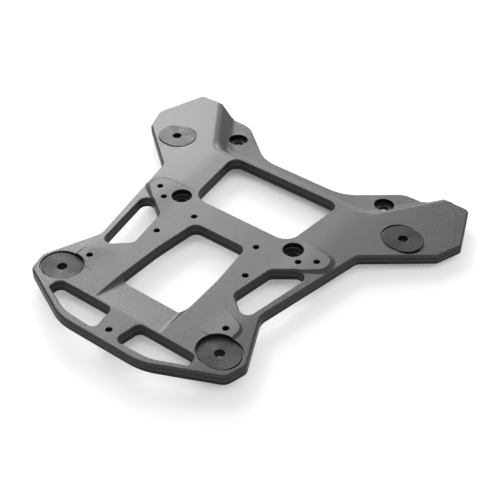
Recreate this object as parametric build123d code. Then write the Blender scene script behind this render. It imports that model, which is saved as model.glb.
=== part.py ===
"""Motorcycle luggage rack: a cast aluminium carrier plate with four machined load pads.

Millimetres. The origin lies on the flat deck, midway between the two middle mounting bores.
+X is the right side of the motorcycle, +Y its front and +Z is up.
"""
import os
from math import atan, atan2, cos, degrees, radians, sin, tan

from build123d import *

os.makedirs("parts", exist_ok=True)

# Deck and wings
deck_thickness = 10.7
wing_start = 60.0
wing_roll_radius = 290.0
wing_slope = 0.062
belly_start = 80.0
belly_roll_radius = 200.0
belly_slope = 0.05
rear_lift_y = -158.0
rear_lift_slope = 0.12

# Outline, right half, from the front flange round to the rear bar
flange_front_y = 100.3
flange_notch_x = 44.0
flange_notch_radius = 38.0
lobe_x = 87.0
lobe_y = 136.0
lobe_radius = 19.0
lobe_end_x = 107.0
lobe_end_y = 136.4
lobe_end_radius = 30.0
wing_inner_x = 124.0
wing_inner_y = 140.0
wing_inner_radius = 9.0
wing_outer_x = 148.6
wing_outer_y = 141.0
wing_outer_radius = 5.0
wing_tip_x = 166.6
wing_tip_y = 96.0
wing_tip_radius = 6.0
wing_rear_x = 157.4
wing_rear_y = 71.7
wing_rear_radius = 3.5
wing_root_x = 105.5
wing_root_y = 27.9
wing_root_radius = 9.0
waist_x = 84.3
waist_y = -78.3
waist_radius = 16.0
rear_corner_x = 106.5
rear_corner_y = -126.0
rear_corner_radius = 8.0
rear_turn_x = 101.4
rear_turn_y = -145.0
rear_turn_radius = 10.0
rear_bar_x = 42.3
rear_bar_y = -174.2
rear_bar_radius = 50.0

# Casting edges
rim_chamfer = 1.5
opening_chamfer = 0.9
lobe_clearance = 0.3
level_edge_rise = 0.3
on_outline = 0.02

# Front fold down to the flange
flange_drop = 12.9
flange_slope = 0.05
flange_thickness = 9.0
fold_foot_y = 88.0
fold_foot_x = 75.5
fold_turn_deg = 53.8
fold_slope_deg = 42.0
fold_corner_radius = 14.0
fold_crest_radius = 4.0
fold_root_radius = 5.0
fold_web_back = 4.0
fold_margin = 4.0
cover_top = 12.0

# Mounting bores, for M8 screws with sunk flanged heads
bore_x = 60.0
front_bore_x = 81.5
front_bore_y = 110.2
bore_radius = 9.0
bore_seat = 4.2
screw_radius = 4.5
middle_boss_drop = 2.2

# Accessory holes, for M5 screws
hole_radius = 2.75
wing_hole_x = 84.2
wing_hole_y = -0.7
shoulder_hole_x = 72.0
shoulder_hole_y = -10.0
front_hole_x = 33.3
front_hole_y = -15.9
side_hole_x = 47.1
side_hole_y = -49.2
corner_hole_x = 71.4
corner_hole_y = -106.4
tail_hole_y = -161.7

# Raised deck round the accessory holes
deck_lobe_radius = 9.4
deck_ramp_deg = 27.0
deck_ramp_depth = 7.0
deck_cap = 3.0
deck_front_y = 16.2
side_lobe_front_y = 10.3
side_lobe_rear_y = -4.3
deck_slot_x = 64.4
deck_slot_y = -28.3
deck_bar_x = 55.9
deck_neck_x = 51.4
deck_neck_y = -85.7
corner_lobe_front_y = -98.3
corner_lobe_rear_y = -114.4
corner_lobe_rear_radius = 5.0
deck_rear_x = 64.0
deck_rear_y = -118.7
deck_end_y = -121.4

# Front opening
front_opening_rear_y = 5.9
front_opening_rear_x = 50.6
front_opening_front_y = 72.6
front_opening_front_x = 57.9
front_opening_rear_radius = 13.5
front_opening_front_radius = 9.0

# Middle opening and the channel behind it
middle_opening_front_y = -22.5
middle_opening_front_x = 26.8
middle_opening_waist_y = -66.9
middle_opening_waist_x = 32.1
middle_opening_rear_y = -111.8
middle_opening_rear_x = 33.9
middle_opening_front_radius = 7.5
middle_opening_rear_radius = 7.0
middle_opening_waist_radius = 120.0
channel_depth = 4.2
channel_end_y = -140.6
channel_floor_x = 28.0
channel_top_x = 34.6

# Side slots
side_slot_front_x = 59.4
side_slot_front_y = -31.3
side_slot_peak_x = 89.6
side_slot_peak_y = -9.2
side_slot_rear_x = 75.6
side_slot_rear_y = -90.6
side_slot_inner_x = 52.9
side_slot_inner_y = -72.0
side_slot_radius = 7.0

# Rear slots
rear_slot_front_y = -142.8
rear_slot_inner_x = 14.4
rear_slot_outer_x = 71.0
rear_slot_heel_x = 72.0
rear_slot_heel_y = -153.2
rear_slot_bend_x = 44.6
rear_slot_bend_y = -165.9
rear_slot_foot_x = 10.3
rear_slot_rear_y = -167.3
rear_slot_radius = 5.5
rear_slot_bend_radius = 40.0

# Load pads
pad_radius = 15.2
pad_flat = 5.4
pad_thickness = 5.0
pad_clearance = 0.05
pad_hole_radius = 4.3
seat_relief = 1.5
seat_relief_depth = 0.8
rear_pad_x = 82.3
rear_pad_y = -128.1
rear_pad_z = -2.9
front_pad_x = 124.0
front_pad_y = 70.7
front_pad_z = -3.4

# Ribbed underside
skin_thickness = 4.0
wall_thickness = 3.6
rib_thickness = 2.4
boss_wall = 3.2
boss_sides = 8
smallest_pocket = 120.0

# Reach of construction solids
reach = 400.0
tall = 60.0


def line_cross(point, direction, other, other_direction):
    """The point where two lines in the plane cross."""
    ax, ay = direction
    bx, by = other_direction
    px, py = other[0] - point[0], other[1] - point[1]
    share = (px * by - py * bx) / (ax * by - ay * bx)
    return point[0] + share * ax, point[1] + share * ay


def turning(corners):
    """Positive for an outline whose corners run anticlockwise."""
    total = 0.0
    for here, after in zip(corners, corners[1:] + corners[:1]):
        total += here[0] * after[1] - after[0] * here[1]
    return total


def offset_corners(corners, distance):
    """Corners (x, y, radius) of a closed outline, moved outwards by a distance."""
    side = distance if turning(corners) > 0 else -distance
    moved = []
    count = len(corners)
    for index in range(count):
        before, here, after = corners[index - 1], corners[index], corners[(index + 1) % count]
        arrive = Vector(here[0] - before[0], here[1] - before[1]).normalized()
        leave = Vector(after[0] - here[0], after[1] - here[1]).normalized()
        first = (before[0] + arrive.Y * side, before[1] - arrive.X * side)
        second = (after[0] + leave.Y * side, after[1] - leave.X * side)
        turn = arrive.X * leave.Y - arrive.Y * leave.X
        x, y = line_cross(first, (arrive.X, arrive.Y), second, (leave.X, leave.Y))
        radius = here[2]
        if radius > 0:
            radius = max(radius + (side if turn > 0 else -side), 0.0)
        moved.append((x, y, radius))
    return moved


def rounded_wire(corners):
    """A closed wire through corners (x, y, radius), with an arc at each corner that has a radius."""
    edges = []
    count = len(corners)
    starts = []
    ends = []
    middles = []
    for index in range(count):
        here = Vector(*corners[index][:2])
        arrive = (here - Vector(*corners[index - 1][:2])).normalized()
        leave = (Vector(*corners[(index + 1) % count][:2]) - here).normalized()
        half_turn = radians(arrive.get_angle(leave)) / 2
        radius = corners[index][2]
        setback = radius * tan(half_turn)
        starts.append(here - arrive * setback)
        ends.append(here + leave * setback)
        inward = (leave - arrive).normalized()
        middles.append(here + inward * radius * (1 / cos(half_turn) - 1))
    for index in range(count):
        if corners[index][2] > 0:
            edges.append(ThreePointArc(starts[index], middles[index], ends[index]))
        edges.append(Line(ends[index], starts[(index + 1) % count]))
    return Wire(edges)


def rounded_face(corners):
    return make_face(rounded_wire(corners))


def mirrored(corners):
    """The closed outline of a right half and its mirror image across X = 0."""
    left = [(-x, y, radius) for x, y, radius in reversed(corners)]
    return corners + left


def prism(corners, low=-tall, high=tall):
    return Pos(0, 0, low) * extrude(rounded_face(corners), high - low)


def rolled_profile(height, crease_x, slope, roll_radius, top):
    """All the space between a surface whose sides fall away from a rolled crease and a level top."""
    section = [
        (crease_x, height, roll_radius),
        (reach / 2, height - slope * (reach / 2 - crease_x), 0.0),
        (reach / 2, top, 0.0),
    ]
    return extrude(Plane.XZ * rounded_face(mirrored(section)), reach / 2, both=True)


def above_wings():
    return rolled_profile(0, wing_start, wing_slope, wing_roll_radius, cover_top)


def above_belly():
    """The space above the underside, which rises a little towards the rear bar."""
    space = rolled_profile(-deck_thickness, belly_start, belly_slope, belly_roll_radius, fold_margin)
    lift = Polyline(
        (rear_lift_y, -deck_thickness),
        (rear_lift_y, -tall),
        (-reach, -tall),
        (-reach, -deck_thickness + rear_lift_slope * (reach + rear_lift_y)),
        close=True,
    )
    return space - extrude(Plane.YZ * make_face(lift), reach, both=True)


def wing_z(x):
    """Height of the upper surface of the wing, outside its rolled edge."""
    return -wing_slope * (x - wing_start)


def outline():
    """The plate's outline at its upper edge."""
    return mirrored([
        (flange_notch_x, flange_front_y, flange_notch_radius),
        (lobe_x, lobe_y, lobe_radius),
        (lobe_end_x, lobe_end_y, lobe_end_radius),
        (wing_inner_x, wing_inner_y, wing_inner_radius),
        (wing_outer_x, wing_outer_y, wing_outer_radius),
        (wing_tip_x, wing_tip_y, wing_tip_radius),
        (wing_rear_x, wing_rear_y, wing_rear_radius),
        (wing_root_x, wing_root_y, wing_root_radius),
        (waist_x, waist_y, waist_radius),
        (rear_corner_x, rear_corner_y, rear_corner_radius),
        (rear_turn_x, rear_turn_y, rear_turn_radius),
        (rear_bar_x, rear_bar_y, rear_bar_radius),
    ])


def level_edges(shape, corners, low, high):
    """The nearly level edges of a shape that follow an outline between two heights."""
    wire = rounded_wire(corners)
    found = ShapeList()
    for edge in shape.edges():
        if low < (edge @ 0.5).Z < high and abs((edge % 0.5).Z) < level_edge_rise:
            spots = [edge @ share for share in (0.0, 0.3, 0.7, 1.0)]
            if all(wire.distance_to(Vector(spot.X, spot.Y, 0)) < on_outline for spot in spots):
                found.append(edge)
    return found


def fold_corners(run):
    """The notch between the wings in plan, at a horizontal distance behind the fold's foot."""
    side_x, side_y = cos(radians(fold_turn_deg)), sin(radians(fold_turn_deg))
    corners = mirrored([
        (fold_foot_x, fold_foot_y, fold_corner_radius),
        (fold_foot_x + side_x * reach / 2, fold_foot_y + side_y * reach / 2, 0.0),
    ])
    return offset_corners(corners, run)


def fold_section(z, back=0.0):
    run = (z + flange_drop) / tan(radians(fold_slope_deg)) + back
    return Pos(0, 0, z) * rounded_wire(fold_corners(run))


def fold_notch():
    """The space above the flange and in front of the fold, with sharp edges."""
    notch = Solid.make_loft([fold_section(-flange_drop - fold_margin), fold_section(fold_margin)], True)
    tilt = degrees(atan(flange_slope))
    below = Box(reach, reach, tall, align=(Align.CENTER, Align.CENTER, Align.MAX))
    return notch - Pos(0, front_bore_y, -flange_drop) * (Rot(-tilt, 0, 0) * below)


def flange_z(y):
    return -flange_drop + flange_slope * (front_bore_y - y)


def cover():
    """All the space above the plate's upper surface, with the fold's foot and crest rounded."""
    notch = fold_notch()
    foot = ShapeList()
    for edge in notch.edges():
        middle = edge @ 0.5
        if abs(middle.Z - flange_z(middle.Y)) < on_outline and middle.Y < reach / 4:
            foot.append(edge)
    space = above_wings() + notch.fillet(fold_root_radius, foot)
    crest = ShapeList()
    for edge in space.edges():
        spots = [edge @ share for share in (0.1, 0.5, 0.9)]
        if all(is_crest(spot) for spot in spots):
            crest.append(edge)
    return space.fillet(fold_crest_radius, crest)


def is_crest(spot):
    """Whether a point lies on the line where the fold leaves the deck or a wing."""
    run = (spot.Z + flange_drop) / tan(radians(fold_slope_deg))
    gap = rounded_wire(fold_corners(run)).distance_to(Vector(spot.X, spot.Y, 0))
    lowest_z = min(wing_z(abs(spot.X)), 0) - wing_roll_radius * wing_slope ** 2
    return gap < on_outline and lowest_z < spot.Z < on_outline


def flange_block():
    """The solid that the flange and the fold's web are cut from."""
    low = -flange_drop - flange_thickness
    back = flange_thickness * tan(radians(fold_slope_deg / 2)) + fold_web_back
    return Solid.make_loft([fold_section(low, back), fold_section(-deck_thickness / 2, back)], True)


def deck():
    """The flat raised deck with its lobes, whose sides ramp down to the wings and the rim."""
    ramp_run = deck_ramp_depth / tan(radians(deck_ramp_deg))
    corners = mirrored([
        (wing_start - ramp_run, deck_front_y, 0.0),
        (wing_hole_x + deck_lobe_radius, side_lobe_front_y, deck_lobe_radius),
        (wing_hole_x + deck_lobe_radius, side_lobe_rear_y, deck_lobe_radius),
        (deck_slot_x, deck_slot_y, 0.0),
        (deck_bar_x, side_slot_inner_y, 0.0),
        (deck_neck_x, deck_neck_y, 0.0),
        (corner_hole_x + deck_lobe_radius, corner_lobe_front_y, deck_lobe_radius),
        (corner_hole_x + deck_lobe_radius, corner_lobe_rear_y, corner_lobe_rear_radius),
        (deck_rear_x, deck_rear_y, 0.0),
        (wing_start - ramp_run, deck_end_y, 0.0),
    ])
    top = rounded_wire(corners)
    foot = Pos(0, 0, -deck_ramp_depth) * rounded_wire(offset_corners(corners, ramp_run))
    raised = Solid.make_loft([foot, top], True) & prism(outline(), -deck_cap, 0)
    return raised - [prism(offset_corners(hole, opening_chamfer + lobe_clearance)) for hole in openings()]


def front_opening():
    return mirrored([
        (front_opening_front_x, front_opening_front_y, front_opening_front_radius),
        (front_opening_rear_x, front_opening_rear_y, front_opening_rear_radius),
    ])


def middle_opening():
    return mirrored([
        (middle_opening_front_x, middle_opening_front_y, middle_opening_front_radius),
        (middle_opening_waist_x, middle_opening_waist_y, middle_opening_waist_radius),
        (middle_opening_rear_x, middle_opening_rear_y, middle_opening_rear_radius),
    ])


def side_slot():
    return [
        (side_slot_front_x, side_slot_front_y, side_slot_radius),
        (side_slot_peak_x, side_slot_peak_y, side_slot_radius),
        (side_slot_rear_x, side_slot_rear_y, side_slot_radius),
        (side_slot_inner_x, side_slot_inner_y, side_slot_radius),
    ]


def rear_slot():
    return [
        (rear_slot_inner_x, rear_slot_front_y, rear_slot_radius),
        (rear_slot_outer_x, rear_slot_front_y, rear_slot_radius),
        (rear_slot_heel_x, rear_slot_heel_y, rear_slot_radius / 2),
        (rear_slot_bend_x, rear_slot_bend_y, rear_slot_bend_radius),
        (rear_slot_foot_x, rear_slot_rear_y, rear_slot_radius),
    ]


def flip(corners):
    """The same outline on the left side."""
    return [(-x, y, radius) for x, y, radius in reversed(corners)]


def openings():
    right = [side_slot(), rear_slot()]
    return [front_opening(), middle_opening()] + right + [flip(corners) for corners in right]


def channel():
    """The shallow ramp that rises from the middle opening to the rear deck."""
    flare = channel_top_x - channel_floor_x
    section = [
        (channel_floor_x, -channel_depth, 0.0),
        (channel_top_x + flare, channel_depth, 0.0),
    ]
    trough = extrude(Plane.XZ * rounded_face(mirrored(section)), reach / 2, both=True)
    start_y = middle_opening_rear_y + middle_opening_rear_radius
    ramp = Polyline(
        (start_y, channel_depth),
        (start_y, -channel_depth),
        (middle_opening_rear_y, -channel_depth),
        (channel_end_y, 0),
        (2 * channel_end_y - middle_opening_rear_y, channel_depth),
        close=True,
    )
    return trough & extrude(Plane.YZ * make_face(ramp), reach / 2, both=True)


def wings(edge):
    """Deck and wings with bevelled rim and openings, before the fold is cut."""
    solid = (above_belly() & prism(edge)) - above_wings()
    rim = level_edges(solid, edge, wing_z(wing_tip_x) - rim_chamfer, fold_margin)
    solid = solid.chamfer(rim_chamfer, None, rim)
    solid -= [prism(hole) for hole in openings()]
    for hole in openings():
        mouth = level_edges(solid, hole, -deck_thickness / 2, fold_margin)
        solid = solid.chamfer(opening_chamfer, None, mouth)
    return solid


def flange(edge):
    """Flange and fold web, with the flange's front rim bevelled."""
    solid = (flange_block() & prism(edge)) - fold_notch()
    rim = level_edges(solid, edge, -flange_drop - fold_margin, -flange_drop + fold_margin)
    return solid.chamfer(rim_chamfer, None, rim)


def plate_casting():
    """The plate as cast, solid."""
    edge = outline()
    space = cover()
    foot_fillet = (fold_notch() & prism(edge)) - space
    solid = (wings(edge) - space) + [flange(edge) - space, foot_fillet] + deck()
    return solid - channel()


def both_sides(spots):
    return spots + [(-x, y) for x, y in spots]


def drill(spot, low, radius):
    """A round tool that stands at a spot, from a height upwards."""
    return Pos(spot[0], spot[1], low) * Cylinder(radius, tall, align=(Align.CENTER, Align.CENTER, Align.MIN))


def middle_bosses():
    """Round faces that stand proud of the underside round the middle bores."""
    height = middle_boss_drop + bore_seat
    ring = Cylinder(bore_radius + boss_wall, height, align=(Align.CENTER, Align.CENTER, Align.MIN))
    return [Pos(x, y, -deck_thickness - middle_boss_drop) * ring for x, y in both_sides([(bore_x, 0.0)])]


def bore_tools():
    """Sunk bores for the flanged mounting screws."""
    tools = []
    for spot in both_sides([(bore_x, 0.0)]):
        tools += [drill(spot, bore_seat - deck_thickness, bore_radius), drill(spot, -tall / 2, screw_radius)]
    for spot in both_sides([(front_bore_x, front_bore_y)]):
        seat_z = -flange_drop - flange_thickness + bore_seat
        tools += [drill(spot, seat_z, bore_radius), drill(spot, -tall / 2, screw_radius)]
    return tools


def hole_spots():
    right = [
        (wing_hole_x, wing_hole_y),
        (shoulder_hole_x, shoulder_hole_y),
        (front_hole_x, front_hole_y),
        (side_hole_x, side_hole_y),
        (corner_hole_x, corner_hole_y),
    ]
    return both_sides(right) + [(0.0, tail_hole_y)]


def pad_outline(clearance):
    return SlotCenterToCenter(pad_flat, 2 * (pad_radius + clearance))


def seat_tools(spot, pad_z):
    """The machined seat of a load pad, the clearing round it and the bore for its screw."""
    seat = Pos(spot[0], spot[1], pad_z - pad_thickness) * extrude(pad_outline(pad_clearance), tall)
    clearing = Pos(spot[0], spot[1], pad_z - seat_relief_depth) * extrude(pad_outline(seat_relief), tall)
    return [seat, clearing, drill(spot, -tall / 2, pad_hole_radius)]


def pad(spot, pad_z):
    """A load pad: a flat insert with round ends, bored through."""
    head = extrude(pad_outline(0), pad_thickness) - Cylinder(pad_hole_radius, tall)
    return Pos(spot[0], spot[1], pad_z - pad_thickness) * head


def rib(start, end):
    """A straight rib in plan between two points."""
    along = Vector(end[0] - start[0], end[1] - start[1])
    middle = ((start[0] + end[0]) / 2, (start[1] + end[1]) / 2)
    turn = degrees(atan2(along.Y, along.X))
    return Pos(*middle) * (Rot(0, 0, turn) * Rectangle(along.length, rib_thickness))


def ribs():
    """Ribs of the right half in plan, between bosses and walls."""
    bore = (bore_x, 0.0)
    front_pad = (front_pad_x, front_pad_y)
    rear_pad = (rear_pad_x, rear_pad_y)
    return [
        rib(bore, front_pad),
        rib(bore, (fold_foot_x, fold_foot_y)),
        rib(front_pad, (wing_outer_x, wing_outer_y)),
        rib(front_pad, (wing_tip_x, wing_tip_y)),
        rib((0.0, front_opening_rear_y + wall_thickness), (0.0, middle_opening_front_y - wall_thickness)),
        rib((front_hole_x, front_hole_y), (front_hole_x, front_opening_rear_y)),
        rib((side_hole_x, side_hole_y), (middle_opening_waist_x, side_hole_y)),
        rib((side_hole_x, side_hole_y), (side_slot_inner_x, side_slot_inner_y)),
        rib((corner_hole_x, corner_hole_y), rear_pad),
        rib((corner_hole_x, corner_hole_y), (middle_opening_rear_x, middle_opening_rear_y)),
        rib(rear_pad, (rear_slot_outer_x, rear_slot_front_y)),
    ]


def straight_sided(corners, cut_turn):
    """An outline in straight lines, where a corner that turns one way is cut off along its arc's chord."""
    count = len(corners)
    points = []
    for index in range(count):
        before, here, after = [Vector(*corners[(index + step) % count][:2]) for step in (-1, 0, 1)]
        arrive, leave = (here - before).normalized(), (after - here).normalized()
        setback = corners[index][2] * tan(radians(arrive.get_angle(leave)) / 2)
        if setback > 0 and cut_turn * arrive.cross(leave).Z > 0:
            points += [here - arrive * setback, here + leave * setback]
        else:
            points.append(here)
    return make_face(Polyline(*points, close=True))


def boss(spot, radius):
    """An eight-sided boss in plan."""
    return Pos(*spot) * RegularPolygon(radius, boss_sides, major_radius=False)


def pockets():
    """The hollows of the underside, between the outer wall, the openings, the bosses and the ribs."""
    web_back = (flange_drop - deck_thickness) / tan(radians(fold_slope_deg))
    web_back += flange_thickness * tan(radians(fold_slope_deg / 2)) + fold_web_back + wall_thickness
    inside = offset_corners(outline(), -wall_thickness)
    plan = Sketch() + straight_sided(inside, turning(inside))
    walls = [offset_corners(hole, wall_thickness) for hole in openings()] + [fold_corners(web_back)]
    kept = [straight_sided(wall, -turning(wall)) for wall in walls]
    kept += [boss(spot, bore_radius + boss_wall) for spot in both_sides([(bore_x, 0.0)])]
    kept += [boss(spot, hole_radius + boss_wall) for spot in hole_spots()]
    pad_spots = both_sides([(front_pad_x, front_pad_y), (rear_pad_x, rear_pad_y)])
    kept += [boss(spot, pad_radius + pad_flat / 2 + boss_wall) for spot in pad_spots]
    channel_zone = Rectangle(2 * (channel_top_x + wall_thickness), middle_opening_rear_y - channel_end_y)
    kept.append(Pos(0, (middle_opening_rear_y + channel_end_y) / 2) * channel_zone)
    right = ribs()
    kept += right + [mirror(piece, Plane.YZ) for piece in right]
    plan = plan - kept
    hollows = [face for face in plan.faces() if face.area > smallest_pocket]
    roof = Pos(0, 0, -skin_thickness) * above_wings()
    return [(Pos(0, 0, -tall) * extrude(hollow, tall)) - roof for hollow in hollows]


def plate():
    """The machined and cored plate."""
    tools = bore_tools() + [drill(spot, -tall / 2, hole_radius) for spot in hole_spots()]
    for spot, pad_z in pads().values():
        tools += seat_tools(spot, pad_z)
    return plate_casting() - pockets() + middle_bosses() - tools


def pads():
    """Where each load pad stands and the height of its top."""
    return {
        "front_left_pad": ((-front_pad_x, front_pad_y), front_pad_z),
        "front_right_pad": ((front_pad_x, front_pad_y), front_pad_z),
        "rear_left_pad": ((-rear_pad_x, rear_pad_y), rear_pad_z),
        "rear_right_pad": ((rear_pad_x, rear_pad_y), rear_pad_z),
    }


export_step(plate(), "parts/plate.step")
for name, (spot, pad_z) in pads().items():
    export_step(pad(spot, pad_z), "parts/" + name + ".step")
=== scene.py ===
"""Finishes and studio for a motorcycle luggage rack: blasted grain, turned pads, soft light."""
import math

import bpy
from bpy.props import FloatProperty, FloatVectorProperty, PointerProperty
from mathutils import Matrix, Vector


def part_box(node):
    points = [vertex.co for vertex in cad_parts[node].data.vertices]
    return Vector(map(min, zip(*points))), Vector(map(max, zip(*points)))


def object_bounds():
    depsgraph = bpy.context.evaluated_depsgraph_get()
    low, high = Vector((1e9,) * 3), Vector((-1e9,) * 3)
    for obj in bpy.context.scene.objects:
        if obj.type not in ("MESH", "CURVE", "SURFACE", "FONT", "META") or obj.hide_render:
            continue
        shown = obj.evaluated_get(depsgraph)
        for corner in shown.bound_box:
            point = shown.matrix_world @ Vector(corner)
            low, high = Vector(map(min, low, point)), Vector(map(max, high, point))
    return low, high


bl_info = {
    "name": "Motorcycle Luggage Rack",
    "version": (1, 0, 0),
    "blender": (4, 5, 0),
    "location": "3D View > Sidebar > Luggage Rack",
    "description": "Dresses a cast luggage rack with its finishes and sets up a soft studio",
    "category": "Object",
}

MM = 0.001
WHITE = (1.0, 1.0, 1.0, 1.0)
BLACK = (0.0, 0.0, 0.0, 1.0)
PADS = ("front_left_pad", "front_right_pad", "rear_left_pad", "rear_right_pad")

# Small sizes of the shaded forms, in millimetres
CORNER_BLEND = 8.0  # where the front fold turns into the side folds
LIP_START, LIP_WIDTH = 2.0, 8.0  # where the flange starts to lean, past the fold's foot
CHANNEL_MOUTH = 7.0  # from the channel's deepest place to its mouth, at the middle opening
MOUTH_RISE = 20.0  # rise at the mouth that keeps the channel off the rest of the deck
EDGE_BLEND = 0.5  # blend of the channel's edges in the solid
CREST_BLEND = 0.9  # blend of the channel's crest as it shows
PARTING_BLEND = 0.4  # half the width of the parting line's step
PARTING_HIGHLIGHT_FADE = (0.2, 0.6)  # heights over which the painted highlight along the parting line fades out

# Where the masks start and end
WALL_TURN = (0.55, 0.25)  # upward part of the normal, from a slope to an upright wall
EDGE_TURN = (0.02, 0.25)  # turn of the rounded normal, from an open surface to an edge
WEAR_PATCHES = (0.35, 0.65)  # cloud noise, from edges that are whole to edges that are rubbed

# Tone of the coated casting, with painted shade on its walls and a painted highlight along its
# parting line
FINE_GRAIN = 0.35  # size of the finer grain, as a share of the grain
FINE_TONE, GRAIN_TONE, CLOUD_TONE = 1.7, 0.6, 0.3
COATING_TONES = (0.9, 1.1)
FINE_MATT, CLOUD_MATT = 0.12, 0.06
# Painted shade on the walls, deeper below the parting line
WALL_PAINTED_SHADE, BELOW_LINE_PAINTED_SHADE = 0.6, 0.4
# Rubbed wear on edges, then the painted highlight along the parting line and how much lighter it is
EDGE_WEAR, PARTING_HIGHLIGHT_SHARE = 0.5, 0.8
PARTING_HIGHLIGHT_GAIN = 1.3

# Turned pads, with sizes in millimetres
WOBBLE_SIZE, WOBBLE_TURN = 6.0, 2.0
RING_SIZE, STAIN_SIZE, SECTOR_SIZE = 0.7, 9.0, 0.5
# Tone of the rings and stains, and the painted highlight streaks of the sectors
RING_TONE, STAIN_TONE, SECTOR_PAINTED_STREAK = 0.9, 0.4, 0.8
PAD_TONES = (0.7, 1.35)
GROOVE_SHARE, RING_SHARE = 0.35, 0.65
RING_MATT = 0.2

# Floor, with sizes in millimetres
FLECK_SIZE = 40.0
FLECK_TONES = (0.985, 1.0)
FAR_START, FAR_END = 600.0, 2600.0
FLOOR_GAP = 0.05

# Place and size of each softbox, in metres
SOFTBOXES = {
    "back": ((-0.743, 1.34, 1.286), (0.95, 0.65)),
    "left": ((-1.417, 1.107, 0.877), (0.8, 0.6)),
    "low": ((-1.273, 1.517, 0.278), (1.7, 0.5)),
    "high": ((-1.288, 0.52, 1.439), (0.8, 0.5)),
}

# Camera
SENSOR_WIDTH = 36.0  # millimetres
NEAREST_VIEW = 0.01  # metres

# Rays for each rounded normal and each shade
NORMAL_RAYS = 6
SHADE_RAYS = 8

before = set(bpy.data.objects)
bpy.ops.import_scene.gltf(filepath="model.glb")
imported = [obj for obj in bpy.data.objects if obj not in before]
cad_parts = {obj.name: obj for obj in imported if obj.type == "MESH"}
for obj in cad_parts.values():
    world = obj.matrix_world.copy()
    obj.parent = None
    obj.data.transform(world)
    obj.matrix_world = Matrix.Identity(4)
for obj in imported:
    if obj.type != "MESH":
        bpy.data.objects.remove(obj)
cad_low, cad_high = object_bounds()


# Shader expressions

class Signal:
    """A number that varies over a surface, written with ordinary arithmetic."""

    def __init__(self, nodes, socket):
        self.nodes = nodes
        self.socket = socket

    def math(self, operation, *values):
        values = dict(enumerate(values))
        return self.nodes.node("ShaderNodeMath", {"operation": operation}, values)

    def __add__(self, other):
        return self.math("ADD", self, other)

    __radd__ = __add__

    def __sub__(self, other):
        return self.math("SUBTRACT", self, other)

    def __rsub__(self, other):
        return self.math("SUBTRACT", other, self)

    def __mul__(self, other):
        return self.math("MULTIPLY", self, other)

    __rmul__ = __mul__

    def __truediv__(self, other):
        return self.math("DIVIDE", self, other)

    def __abs__(self):
        return self.math("ABSOLUTE", self)

    def larger(self, other):
        return self.math("MAXIMUM", self, other)

    def smaller(self, other):
        return self.math("MINIMUM", self, other)

    def blended(self, other, width):
        """The smaller of two numbers, blended where they are alike."""
        return self.math("SMOOTH_MIN", self, other, width)

    def sine(self):
        return self.math("SINE", self)

    def root(self):
        return self.math("SQRT", self)

    def roll(self, start, width):
        """0 before a crease and rising evenly after it, rolled over a width round the crease."""
        rounded = (self - (start - width / 2)).larger(0.0).smaller(width)
        return rounded * rounded / (2 * width) + (self - (start + width / 2)).larger(0.0)

    def ramp(self, none, full):
        """0 at one value and beyond, 1 at another and beyond, with a smooth step between them."""
        settings = {"interpolation_type": "SMOOTHSTEP"}
        return self.nodes.node("ShaderNodeMapRange", settings, {0: self, 1: none, 2: full})


class Nodes:
    """A node tree, emptied first, and the nodes that are added to it."""

    def __init__(self, tree):
        self.tree = tree
        self.tree.nodes.clear()

    def node(self, kind, settings=None, values=None, output=0):
        """Adds a node, sets it up, feeds its inputs and gives one of its outputs, if it has any."""
        made = self.tree.nodes.new(kind)
        for name, setting in (settings or {}).items():
            setattr(made, name, setting)
        for key, value in (values or {}).items():
            if isinstance(value, Signal):
                self.tree.links.new(value.socket, made.inputs[key])
            else:
                made.inputs[key].default_value = value
        return Signal(self, made.outputs[output]) if made.outputs else None

    def seen_rays(self):
        """1 for rays from the camera, a mirror or glass, and 0 for rays that light the rack."""
        kinds = ("Is Camera Ray", "Is Glossy Ray", "Is Transmission Ray")
        camera, mirror, glass = [self.node("ShaderNodeLightPath", output=kind) for kind in kinds]
        return camera.larger(mirror).larger(glass)


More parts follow.
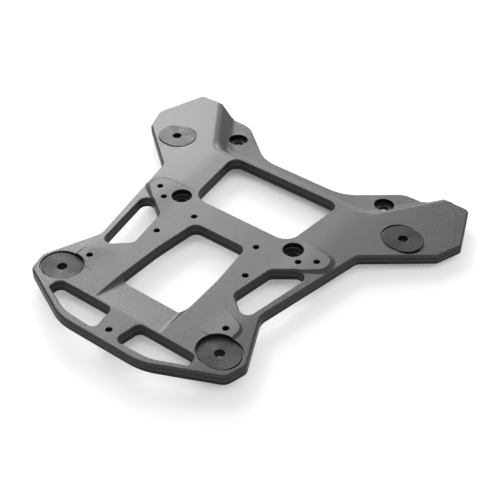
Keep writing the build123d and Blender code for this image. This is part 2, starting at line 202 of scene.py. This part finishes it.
class Finish(Nodes):
    """A new material, and the steps that the finishes share."""

    def __init__(self, name):
        self.material = bpy.data.materials.new(name)
        self.material.use_nodes = True
        super().__init__(self.material.node_tree)

    def place(self):
        """The surface's place on the object, in millimetres."""
        here = self.node("ShaderNodeTexCoord", output="Object")
        values = {0: here, "Scale": 1 / MM}
        return self.node("ShaderNodeVectorMath", {"operation": "SCALE"}, values)

    def parts(self, vector):
        """The three numbers of a vector."""
        return [self.node("ShaderNodeSeparateXYZ", None, {0: vector}, axis) for axis in range(3)]

    def vector(self, *numbers):
        """A vector made of three numbers."""
        return self.node("ShaderNodeCombineXYZ", None, dict(enumerate(numbers)))

    def noise(self, vector, size, detail=2.0, roughness=0.5):
        """Noise between 0 and 1 with patches of about a size in millimetres."""
        values = {"Vector": vector, "Scale": 1 / size, "Detail": detail, "Roughness": roughness}
        return self.node("ShaderNodeTexNoise", None, values)

    def tone(self, *noises):
        """Noises mixed by weight, about 0.5 on average and kept between 0 and 1."""
        mixed = sum(((noise - 0.5) * weight for noise, weight in noises), 0.5)
        return mixed.smaller(1.0).larger(0.0)

    def mix(self, factor, first, second):
        """A colour between two colours."""
        values = {0: factor, 6: first, 7: second}
        return self.node("ShaderNodeMix", {"data_type": "RGBA"}, values, output=2)

    def tinted(self, factor, color, tones):
        """A colour that runs from a darker to a lighter tone of itself."""
        darker, lighter = tones
        return self.mix(factor, shade(color, darker), shade(color, lighter))

    def rounded_normal(self, radius):
        return self.node("ShaderNodeBevel", {"samples": NORMAL_RAYS}, {"Radius": radius})

    def bump(self, height, distance, normal):
        values = {"Height": height, "Distance": distance, "Normal": normal, "Strength": 1.0}
        return self.node("ShaderNodeBump", None, values)

    def edges(self, rounded):
        """1 on sharp edges and 0 on open surfaces, from the rounded normal."""
        flat = self.node("ShaderNodeNewGeometry", output="Normal")
        values = {0: rounded, 1: flat}
        settings = {"operation": "DOT_PRODUCT"}
        same = self.node("ShaderNodeVectorMath", settings, values, output="Value")
        return (1 - same).ramp(*EDGE_TURN)

    def surface(self, values):
        shader = self.node("ShaderNodeBsdfPrincipled", None, values)
        self.node("ShaderNodeOutputMaterial", None, {"Surface": shader})
        return self.material


def shade(color, factor=1.0):
    return tuple(part * factor for part in color[:3]) + (1.0,)


# Forms of the plate, in millimetres

def fold_distance(x, y, sizes):
    """Distance from the foot of the fold: below 0 on the deck and wings, above 0 on the flange."""
    ahead = y - sizes.fold_foot[1] / MM
    beside = abs(x) - sizes.fold_foot[0] / MM
    side = ahead * math.cos(sizes.fold_turn) - beside * math.sin(sizes.fold_turn)
    return ahead.blended(side, CORNER_BLEND)


def fold_fall(distance, drop, slope, foot, roll):
    """Fall of a fold whose crest and foot are rolled."""
    crest = distance + (drop * (1 / slope) - foot)
    return (crest.roll(0.0, roll) - distance.roll(foot, roll)) * slope


def channel_height(x, y, sizes, slope, foot, crest):
    """Height of the channel behind the middle opening, with its sides' foot and crest blended."""
    depth = sizes.channel_depth / MM
    side = (abs(x) - sizes.channel_crest / MM) * slope
    run = (sizes.channel_start - sizes.channel_end) / MM
    floor = (sizes.channel_end / MM - y) * (depth / run)
    mouth = (y - (sizes.channel_start / MM + CHANNEL_MOUTH)).larger(0.0).smaller(1.0)
    floor = floor.larger(-depth) + mouth * MOUTH_RISE
    bottom = (-1 * floor).blended(-1 * side, foot)
    return (-1 * bottom).blended(0.0, crest)


def shown_height(x, y, sizes, fall):
    """Height of the form that shows above the solid: outer crease, soft fold, lip and channel."""
    crease = abs(x).roll(sizes.crease_place / MM, sizes.crease_width / MM) * sizes.crease_slope
    fold = fold_distance(x, y, sizes)
    drop = sizes.fold_drop / MM - fall
    sharp = fold_fall(fold, drop, sizes.fold_slope, 0.0, sizes.fold_edge / MM)
    soft_foot = sizes.fold_soft_foot / MM
    soft = fold_fall(fold, drop, sizes.fold_soft_slope, soft_foot, sizes.fold_roll / MM)
    lip = fold.roll(LIP_START, LIP_WIDTH) * sizes.flange_tilt
    roll = sizes.channel_roll / MM
    hollow = channel_height(x, y, sizes, sizes.channel_soft_slope, roll, CREST_BLEND)
    hollow = hollow - channel_height(x, y, sizes, sizes.channel_slope, EDGE_BLEND, EDGE_BLEND)
    return fall - crease + sharp - soft - lip + hollow


# Materials

def cast_coating(sizes):
    """Grey coated casting: blasted grain, cloudy tone, parting line and slightly rubbed edges, with
    painted shade on the walls and a painted highlight along the parting line.
    """
    finish = Finish("cast_coating")
    place = finish.place()
    x, y, z = finish.parts(place)
    grain_size = sizes.grain_size / MM
    grain = finish.noise(place, grain_size, detail=3.0, roughness=0.6)
    fine = finish.noise(place, grain_size * FINE_GRAIN, roughness=0.6)
    cloud = finish.noise(place, sizes.cloud_size / MM)
    soft = finish.rounded_normal(sizes.edge_round)
    worn = finish.edges(soft) * cloud.ramp(*WEAR_PATCHES) * EDGE_WEAR
    fall = abs(x).roll(sizes.wing_start / MM, sizes.wing_start_width / MM) * sizes.wing_slope

    upward = finish.parts(finish.node("ShaderNodeNewGeometry", output="True Normal"))[2]
    wall = abs(upward).ramp(*WALL_TURN)
    above_line = z + fall + sizes.parting_depth / MM
    below_line = above_line.ramp(PARTING_BLEND, -PARTING_BLEND) * wall
    # Mask of the painted highlight, a light line along the parting line on the walls
    parting_highlight = wall * (1 - abs(above_line).ramp(*PARTING_HIGHLIGHT_FADE))

    tone = finish.tone((fine, FINE_TONE), (grain, GRAIN_TONE), (cloud, CLOUD_TONE))
    base = finish.tinted(tone, sizes.coating_color, COATING_TONES)
    # Painted shade: the walls darker, more so below the parting line
    dim = (wall * WALL_PAINTED_SHADE + below_line * BELOW_LINE_PAINTED_SHADE) * sizes.wall_shade
    base = finish.mix(dim, base, shade(sizes.wall_painted_shade_color))
    base = finish.mix(worn, base, shade(sizes.rubbed_and_highlight_color))
    # Painted highlight: the walls lighter along the parting line
    base = finish.mix(parting_highlight * PARTING_HIGHLIGHT_SHARE, base, shade(sizes.rubbed_and_highlight_color, PARTING_HIGHLIGHT_GAIN))
    matt = (fine - 0.5) * FINE_MATT + (cloud - 0.5) * CLOUD_MATT

    shown = finish.bump(shown_height(x, y, sizes, fall) * MM, 1.0, soft)
    ledge = finish.bump(below_line, sizes.parting_height, shown)
    coarse = finish.bump(grain, sizes.grain_height, ledge)
    return finish.surface({
        "Base Color": base,
        "Metallic": sizes.metal_share,
        "Specular IOR Level": sizes.coating_sheen,
        "Specular Tint": sizes.grazing_sheen,
        "Roughness": sizes.coating_roughness + matt,
        "Normal": finish.bump(fine, sizes.grain_height, coarse),
    })


def turned_pad(sizes, name, middle, tilt):
    """Turned pad metal: tool marks round the bore and streaks across them, on its wing's lean; the
    streaks' colour and the lighter rim are painted highlight, the rim with some rubbed wear.
    """
    finish = Finish(name)
    place = finish.place()
    x, y = finish.parts(place)[:2]
    across = x - middle.x / MM
    along = y - middle.y / MM
    radius = (across * across + along * along).root()
    wobble = finish.noise(place, WOBBLE_SIZE) * WOBBLE_TURN
    groove = (radius * (2 * math.pi * MM / sizes.groove_pitch) + wobble).sine()
    rings = finish.noise(finish.vector(radius, 0.0, 0.0), RING_SIZE)
    stain = finish.noise(place, STAIN_SIZE)
    bearing = finish.vector(across / radius, along / radius, middle.x / MM)
    sector = finish.noise(bearing, SECTOR_SIZE, detail=1.0)
    soft = finish.rounded_normal(sizes.pad_round)
    leaning = finish.bump(abs(x) * (-tilt * MM), 1.0, soft)

    # The sectors' part of the colour is a painted highlight streak; rings and stain are the metal's
    # own tone
    tone = finish.tone((rings, RING_TONE), (stain, STAIN_TONE), (sector, SECTOR_PAINTED_STREAK))
    base = finish.tinted(tone, sizes.pad_color, PAD_TONES)
    # Lighter rim: a painted highlight on the pad's rounded edge, with some rubbed wear
    base = finish.mix(finish.edges(soft), base, shade(sizes.rubbed_and_highlight_color))
    matt = (rings - 0.5) * RING_MATT + (sector - 0.5) * sizes.sector_contrast
    height = groove * GROOVE_SHARE + rings * RING_SHARE
    return finish.surface({
        "Base Color": base,
        "Metallic": sizes.pad_metal_share,
        "Specular IOR Level": sizes.pad_sheen,
        "Roughness": sizes.pad_roughness + matt,
        "Normal": finish.bump(height, sizes.groove_height, leaning),
    })


def studio_floor(studio):
    """A floor that reads as white in the open, keeps the soft shadow and is clear from below."""
    finish = Finish("studio_floor")
    place = finish.place()
    fleck = finish.noise(place, FLECK_SIZE)
    color = finish.tinted(fleck, studio.floor_color, FLECK_TONES)
    matt = finish.node("ShaderNodeBsdfDiffuse", None, {"Color": color})
    reach = {"Distance": studio.shade_reach}
    rays = {"samples": SHADE_RAYS}
    open_air = finish.node("ShaderNodeAmbientOcclusion", rays, reach, output="AO")
    soft_shade = 1 - (1 - open_air) * studio.shade_depth
    shaded = soft_shade * open_air.ramp(0.0, studio.deep_shade)
    x, y = finish.parts(place)[:2]
    far = (x * x + y * y).root().ramp(FAR_START, FAR_END)
    lift = (far * studio.far_lift + studio.floor_lift) * shaded * finish.seen_rays()
    glow = finish.mix(lift, BLACK, WHITE)
    glow = finish.node("ShaderNodeEmission", None, {"Color": glow, "Strength": 1.0})
    above = finish.node("ShaderNodeAddShader", None, {0: matt, 1: glow})
    clear = finish.node("ShaderNodeBsdfTransparent")
    below = finish.node("ShaderNodeNewGeometry", output="Backfacing")
    both = finish.node("ShaderNodeMixShader", None, {0: below, 1: above, 2: clear})
    finish.node("ShaderNodeOutputMaterial", None, {"Surface": both})
    return finish.material


def dress(node, material):
    """Gives a CAD part its finish."""
    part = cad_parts[node]
    if not part.material_slots:
        part.data.materials.append(material)
    for slot in part.material_slots:
        slot.material = material


# Settings

class RackFinishes(bpy.types.PropertyGroup):
    """Colours and sizes of the rack's finishes."""

    coating_color: FloatVectorProperty(
        name="Coating colour", description="Colour of the coated casting",
        subtype="COLOR", size=4, min=0.0, max=1.0, default=(0.068, 0.0685, 0.0685, 1.0))
    # Colour of rubbed edges on the plate, and of the painted highlights on the parting line and the
    # pads' rims
    rubbed_and_highlight_color: FloatVectorProperty(
        name="Rubbed edge colour", description="Colour of edges where the coating is rubbed",
        subtype="COLOR", size=4, min=0.0, max=1.0, default=(0.095, 0.095, 0.093, 1.0))
    coating_roughness: FloatProperty(
        name="Coating roughness", description="How matt the coated casting is",
        subtype="FACTOR", min=0.0, max=1.0, default=0.32)
    coating_sheen: FloatProperty(
        name="Coating sheen", description="How strongly the coat over the casting mirrors",
        subtype="FACTOR", min=0.0, max=1.0, default=0.3)
    grazing_sheen: FloatVectorProperty(
        name="Grazing sheen",
        description="How strongly the metallic share of the coating mirrors at a flat angle",
        subtype="COLOR", size=4, min=0.0, max=1.0, default=(0.5, 0.5, 0.5, 1.0))
    metal_share: FloatProperty(
        name="Coating metal share", description="How metallic the coated casting looks",
        subtype="FACTOR", min=0.0, max=1.0, default=0.5)
    grain_size: FloatProperty(
        name="Grain size", description="Width of the blasted grain",
        subtype="DISTANCE", unit="LENGTH", min=0.0001, max=0.01, default=0.0022)
    grain_height: FloatProperty(
        name="Grain height", description="Height of the blasted grain",
        subtype="DISTANCE", unit="LENGTH", min=0.0, max=0.001, default=0.00013)
    # Painted shade: the dark colour mixed over the walls
    wall_painted_shade_color: FloatVectorProperty(
        name="Wall colour", description="Colour of the casting's walls",
        subtype="COLOR", size=4, min=0.0, max=1.0, default=(0.026, 0.0245, 0.022, 1.0))
    # How much painted shade darkens the walls
    wall_shade: FloatProperty(
        name="Wall shade", description="How far the walls take their own colour",
        subtype="FACTOR", min=0.0, max=1.0, default=0.9)
    cloud_size: FloatProperty(
        name="Cloud size", description="Width of the soft changes in tone",
        subtype="DISTANCE", unit="LENGTH", min=0.001, max=0.1, default=0.018)
    edge_round: FloatProperty(
        name="Edge round", description="Radius to which cast edges look rounded",
        subtype="DISTANCE", unit="LENGTH", min=0.0, max=0.005, default=0.0008)
    parting_depth: FloatProperty(
        name="Parting line depth",
        description="Depth of the mould's parting line below the upper face",
        subtype="DISTANCE", unit="LENGTH", min=0.0, max=0.02, default=0.0052)
    parting_height: FloatProperty(
        name="Parting line height", description="Step of the mould's parting line",
        subtype="DISTANCE", unit="LENGTH", min=0.0, max=0.002, default=0.0008)
    wing_start: FloatProperty(
        name="Wing start", description="Distance from the middle at which the wings start to fall",
        subtype="DISTANCE", unit="LENGTH", min=0.0, max=0.2, default=0.06)
    wing_slope: FloatProperty(
        name="Wing slope", description="Fall of the wings for each unit of width",
        min=0.0, max=1.0, default=0.062)
    wing_start_width: FloatProperty(
        name="Wing start width", description="Width over which the wings start to fall",
        subtype="DISTANCE", unit="LENGTH", min=0.001, max=0.1, default=0.018)
    crease_place: FloatProperty(
        name="Crease place",
        description="Distance from the middle at which the wings' crease shows",
        subtype="DISTANCE", unit="LENGTH", min=0.0, max=0.2, default=0.075)
    crease_width: FloatProperty(
        name="Crease width", description="Width over which the wings' crease rolls",
        subtype="DISTANCE", unit="LENGTH", min=0.001, max=0.1, default=0.014)
    crease_slope: FloatProperty(
        name="Crease slope", description="Fall of the wings that shows outside their crease",
        min=0.0, max=1.0, default=0.074)
    fold_foot: FloatVectorProperty(
        name="Fold foot",
        description="Corner of the front fold's foot, to the right and ahead of the middle",
        subtype="TRANSLATION", unit="LENGTH", size=2, default=(0.0755, 0.088))
    fold_turn: FloatProperty(
        name="Fold turn", description="Turn from the front fold to a side fold",
        subtype="ANGLE", unit="ROTATION", default=math.radians(53.8))
    fold_drop: FloatProperty(
        name="Fold drop", description="Height of the front fold",
        subtype="DISTANCE", unit="LENGTH", min=0.0, max=0.05, default=0.0129)
    fold_slope: FloatProperty(
        name="Fold slope", description="Fall of the fold for each unit of width",
        min=0.1, max=3.0, default=0.9)
    fold_edge: FloatProperty(
        name="Fold edge", description="Width over which the fold's crest and foot are rolled",
        subtype="DISTANCE", unit="LENGTH", min=0.0, max=0.05, default=0.003)
    fold_soft_slope: FloatProperty(
        name="Fold soft slope",
        description="Fall of the fold that shows between its crest and foot",
        min=0.1, max=3.0, default=0.92)
    fold_soft_foot: FloatProperty(
        name="Fold soft foot", description="How far ahead the fold's foot shows",
        subtype="DISTANCE", unit="LENGTH", min=0.0, max=0.05, default=0.0006)
    fold_roll: FloatProperty(
        name="Fold roll", description="Width over which the fold's crest and foot look rounded",
        subtype="DISTANCE", unit="LENGTH", min=0.0, max=0.05, default=0.009)
    flange_tilt: FloatProperty(
        name="Flange tilt", description="Extra fall of the flange that shows ahead of the fold",
        min=0.0, max=1.0, default=0.04)
    channel_depth: FloatProperty(
        name="Channel depth", description="Depth of the channel behind the middle opening",
        subtype="DISTANCE", unit="LENGTH", min=0.001, max=0.05, default=0.0042)
    channel_crest: FloatProperty(
        name="Channel crest",
        description="Distance from the middle to the crest of the channel's sides",
        subtype="DISTANCE", unit="LENGTH", min=0.001, max=0.1, default=0.0346)
    channel_slope: FloatProperty(
        name="Channel slope", description="Rise of the channel's sides for each unit of width",
        min=0.1, max=3.0, default=0.636)
    channel_soft_slope: FloatProperty(
        name="Channel soft slope",
        description="Rise that shows near the crest of the channel's sides",
        min=0.1, max=3.0, default=0.95)
    channel_start: FloatProperty(
        name="Channel start", description="Place along the rack at which the channel is deepest",
        subtype="DISTANCE", unit="LENGTH", default=-0.1118)
    channel_end: FloatProperty(
        name="Channel end", description="Place along the rack at which the channel runs out",
        subtype="DISTANCE", unit="LENGTH", default=-0.1406)
    channel_roll: FloatProperty(
        name="Channel roll",
        description="Blend that shows between the channel's floor and its sides",
        subtype="DISTANCE", unit="LENGTH", min=0.0001, max=0.02, default=0.004)
    pad_color: FloatVectorProperty(
        name="Pad colour", description="Colour of the turned pads",
        subtype="COLOR", size=4, min=0.0, max=1.0, default=(0.03, 0.0275, 0.025, 1.0))
    pad_roughness: FloatProperty(
        name="Pad roughness", description="How matt the turned pads are",
        subtype="FACTOR", min=0.0, max=1.0, default=0.34)
    pad_metal_share: FloatProperty(
        name="Pad metal share", description="How metallic the turned pads look",
        subtype="FACTOR", min=0.0, max=1.0, default=0.3)
    pad_sheen: FloatProperty(
        name="Pad sheen", description="How strongly the turned pads mirror",
        subtype="FACTOR", min=0.0, max=1.0, default=0.15)
    pad_round: FloatProperty(
        name="Pad edge round", description="Radius to which the pads' edges look rounded",
        subtype="DISTANCE", unit="LENGTH", min=0.0, max=0.005, default=0.0007)
    sector_contrast: FloatProperty(
        name="Sector contrast",
        description="How much the turned pads' shine changes round the bore",
        min=0.0, max=1.0, default=0.5)
    groove_pitch: FloatProperty(
        name="Groove pitch", description="Distance between the tool marks of a pad",
        subtype="DISTANCE", unit="LENGTH", min=0.0001, max=0.01, default=0.0014)
    groove_height: FloatProperty(
        name="Groove height", description="Height of the tool marks of a pad",
        subtype="DISTANCE", unit="LENGTH", min=0.0, max=0.001, default=0.00016)


class StudioSettings(bpy.types.PropertyGroup):
    """Camera, floor and lamps."""

    camera_place: FloatVectorProperty(
        name="Camera place", description="Where the camera stands",
        subtype="TRANSLATION", unit="LENGTH", size=3, default=(0.46725, -0.60286, 0.63912))
    camera_turn: FloatProperty(
        name="Camera turn", description="Turn of the camera to the left of straight ahead",
        subtype="ANGLE", unit="ROTATION", default=math.radians(36.878))
    camera_dip: FloatProperty(
        name="Camera dip", description="Angle by which the camera looks down",
        subtype="ANGLE", unit="ROTATION", default=math.radians(41.342))
    lens: FloatProperty(
        name="Lens", description="Focal length for a sensor 36 mm wide, in millimetres",
        min=10.0, max=300.0, default=83.65)
    floor_color: FloatVectorProperty(
        name="Floor colour", description="Colour of the studio floor",
        subtype="COLOR", size=4, min=0.0, max=1.0, default=(0.5, 0.5, 0.5, 1.0))
    floor_lift: FloatProperty(
        name="Floor lift", description="Light that the floor adds where it is seen",
        min=0.0, max=1.0, default=0.74)
    far_lift: FloatProperty(
        name="Far lift",
        description="Light that the floor adds far from the rack, to meet the white surroundings",
        min=0.0, max=1.0, default=0.2)
    shade_reach: FloatProperty(
        name="Shade reach", description="How far the rack's soft shade reaches over the floor",
        subtype="DISTANCE", unit="LENGTH", min=0.0, max=1.0, default=0.035)
    shade_depth: FloatProperty(
        name="Shade depth", description="How dark the rack's soft shade is",
        min=0.0, max=1.0, default=0.26)
    deep_shade: FloatProperty(
        name="Deep shade",
        description="Share of open air below which the floor's light starts to fade to none",
        min=0.01, max=1.0, default=0.4)
    floor_width: FloatProperty(
        name="Floor width", description="Width of the studio floor",
        subtype="DISTANCE", unit="LENGTH", min=1.0, max=100.0, default=60.0)
    left_light: FloatProperty(
        name="Left softbox power", description="Power of the softbox behind and to the left",
        subtype="POWER", unit="POWER", min=0.0, max=1000.0, default=18.0)
    back_light: FloatProperty(
        name="Back softbox power", description="Power of the softbox behind the rack",
        subtype="POWER", unit="POWER", min=0.0, max=1000.0, default=11.0)
    high_light: FloatProperty(
        name="High softbox power", description="Power of the raised softbox at the left",
        subtype="POWER", unit="POWER", min=0.0, max=1000.0, default=11.5)
    low_light: FloatProperty(
        name="Low softbox power", description="Power of the long softbox low down behind the rack",
        subtype="POWER", unit="POWER", min=0.0, max=1000.0, default=14.0)
    sky_light: FloatProperty(
        name="Surrounding light", description="Strength of the light from all round",
        min=0.0, max=2.0, default=0.2)


# Operators

class RACK_OT_finish_plate(bpy.types.Operator):
    """Gives the cast plate its coating"""

    bl_idname = "rack.finish_plate"
    bl_label = "Finish Plate"

    def execute(self, context):
        dress("plate", cast_coating(context.scene.rack_finishes))
        return {"FINISHED"}


class RACK_OT_finish_pads(bpy.types.Operator):
    """Gives each load pad its turned finish"""

    bl_idname = "rack.finish_pads"
    bl_label = "Finish Pads"

    def execute(self, context):
        sizes = context.scene.rack_finishes
        for name in PADS:
            low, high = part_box(name)
            middle = (low + high) / 2
            tilt = sizes.crease_slope if middle.y > 0 else 0.0
            dress(name, turned_pad(sizes, "turned_" + name, middle, tilt))
        return {"FINISHED"}


def add_softbox(name, place, size, power):
    """Adds a rectangular lamp that faces the rack."""
    bpy.ops.object.select_all(action="DESELECT")
    bpy.ops.object.light_add(type="AREA", location=place)
    lamp = bpy.context.object
    lamp.name = name
    lamp.rotation_euler = (-Vector(place)).to_track_quat("-Z", "Y").to_euler()
    lamp.data.shape = "RECTANGLE"
    lamp.data.size, lamp.data.size_y = size
    lamp.data.energy = power


class RACK_OT_set_stage(bpy.types.Operator):
    """Sets up the floor, lamps, surrounding light and camera"""

    bl_idname = "rack.set_stage"
    bl_label = "Set Up Studio"

    def execute(self, context):
        studio = context.scene.rack_studio
        self.set_floor(studio)
        for name, (place, size) in SOFTBOXES.items():
            add_softbox(name + "_softbox", place, size, getattr(studio, name + "_light"))
        self.set_world(studio)
        self.set_camera(studio)
        return {"FINISHED"}

    def set_floor(self, studio):
        height = cad_low.z - FLOOR_GAP * MM
        bpy.ops.object.select_all(action="DESELECT")
        bpy.ops.mesh.primitive_plane_add(size=studio.floor_width, location=(0.0, 0.0, height))
        floor = bpy.context.object
        floor.name = "studio_floor"
        floor.data.materials.append(studio_floor(studio))

    def set_world(self, studio):
        """Soft light from all round, which reads as white where it is seen or mirrored."""
        world = bpy.data.worlds.new("studio_light")
        bpy.context.scene.world = world
        world.use_nodes = True
        sky = Nodes(world.node_tree)
        strengths = (studio.sky_light, 1.0)
        dim, white = [sky.node("ShaderNodeBackground", None, {"Color": WHITE, "Strength": strength})
                      for strength in strengths]
        both = sky.node("ShaderNodeMixShader", None, {0: sky.seen_rays(), 1: dim, 2: white})
        sky.node("ShaderNodeOutputWorld", None, {"Surface": both})

    def set_camera(self, studio):
        turn = (math.pi / 2 - studio.camera_dip, 0.0, studio.camera_turn)
        bpy.ops.object.select_all(action="DESELECT")
        bpy.ops.object.camera_add(location=studio.camera_place, rotation=turn)
        camera = bpy.context.object
        camera.name = "studio_camera"
        camera.data.sensor_width = SENSOR_WIDTH
        camera.data.lens = studio.lens
        camera.data.clip_start = NEAREST_VIEW
        bpy.context.scene.camera = camera
        bpy.context.scene.view_settings.view_transform = "Standard"


class RACK_PT_panel(bpy.types.Panel):
    """The rack's tools and settings"""

    bl_idname = "RACK_PT_panel"
    bl_label = "Luggage Rack"
    bl_space_type = "VIEW_3D"
    bl_region_type = "UI"
    bl_category = "Luggage Rack"

    def draw(self, context):
        layout = self.layout
        for made in OPERATORS:
            layout.operator(made.bl_idname)
        for group in (context.scene.rack_finishes, context.scene.rack_studio):
            column = layout.column()
            for name in group.__annotations__:
                column.prop(group, name)


OPERATORS = (RACK_OT_finish_plate, RACK_OT_finish_pads, RACK_OT_set_stage)
CLASSES = (RackFinishes, StudioSettings) + OPERATORS + (RACK_PT_panel,)


def register():
    for made in CLASSES:
        bpy.utils.register_class(made)
    bpy.types.Scene.rack_finishes = PointerProperty(type=RackFinishes)
    bpy.types.Scene.rack_studio = PointerProperty(type=StudioSettings)


def unregister():
    del bpy.types.Scene.rack_studio
    del bpy.types.Scene.rack_finishes
    for made in reversed(CLASSES):
        bpy.utils.unregister_class(made)


def main():
    register()
    bpy.ops.rack.finish_plate()
    bpy.ops.rack.finish_pads()
    bpy.ops.rack.set_stage()


if __name__ == "__main__":
    main()
